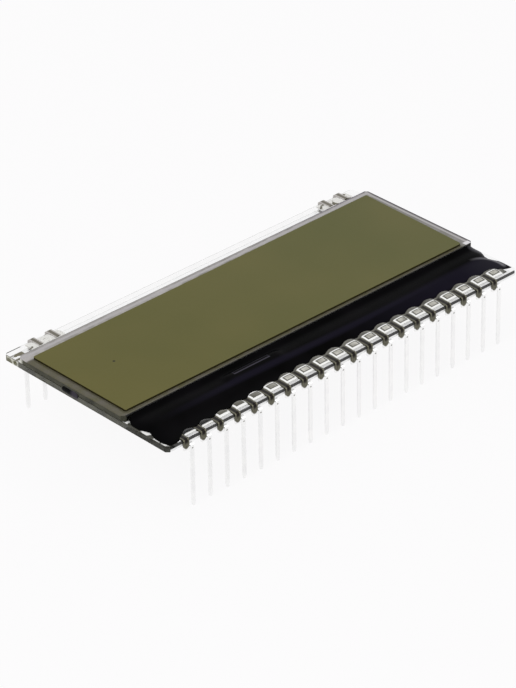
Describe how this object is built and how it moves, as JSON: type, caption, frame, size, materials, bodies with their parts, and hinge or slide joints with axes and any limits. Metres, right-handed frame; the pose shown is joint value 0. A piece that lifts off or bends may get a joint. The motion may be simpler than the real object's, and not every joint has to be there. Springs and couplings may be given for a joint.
{
  "type": "character lcd module",
  "caption": "Chip-on-glass character display: two stacked glass sheets, olive polarizer, black resin bead over the driver, and stamped edge-clip leads in two rows.",
  "frame": {"origin": "under the middle of the module, on the plane of the lead tips", "axes": "+X along the rows of leads, -Y towards the full front row of leads and the resin bead, +Z the viewing side"},
  "size_m": [0.0551, 0.0282, 0.0097],
  "materials": {
    "glass": "polished soda-lime glass",
    "seal": "printed epoxy",
    "crystal": "thin yellow-green fluid film",
    "conductive_epoxy": "silver-filled epoxy",
    "port_resin": "cured black resin",
    "polarizer": "satin polarizing film, olive",
    "reflector": "transflective film",
    "silicon": "bare silicon",
    "bond_film": "anisotropic conductive film",
    "resin": "glossy black encapsulant",
    "adhesive": "clear cured adhesive",
    "lead": "bright tin plate"
  },
  "bodies": {
    "root": {"lower_glass": "glass", "upper_glass": "glass", "seal_frame": "seal", "liquid_crystal": "crystal", "crossover_dots": "conductive_epoxy", "port_plug": "port_resin", "front_polarizer": "polarizer", "rear_polarizer": "reflector", "driver_chip": "silicon", "chip_bond_film": "bond_film", "resin_bead": "resin", "front_adhesive": "adhesive", "back_left_adhesive": "adhesive", "back_right_adhesive": "adhesive", "front_lead_01": "lead", "front_lead_02": "lead", "front_lead_03": "lead", "front_lead_04": "lead", "front_lead_05": "lead", "front_lead_06": "lead", "front_lead_07": "lead", "front_lead_08": "lead", "front_lead_09": "lead", "front_lead_10": "lead", "front_lead_11": "lead", "front_lead_12": "lead", "front_lead_13": "lead", "front_lead_14": "lead", "front_lead_15": "lead", "front_lead_16": "lead", "front_lead_17": "lead", "front_lead_18": "lead", "front_lead_19": "lead", "front_lead_20": "lead", "back_lead_01": "lead", "back_lead_02": "lead", "back_lead_19": "lead", "back_lead_20": "lead"}
  },
  "joints": []
}
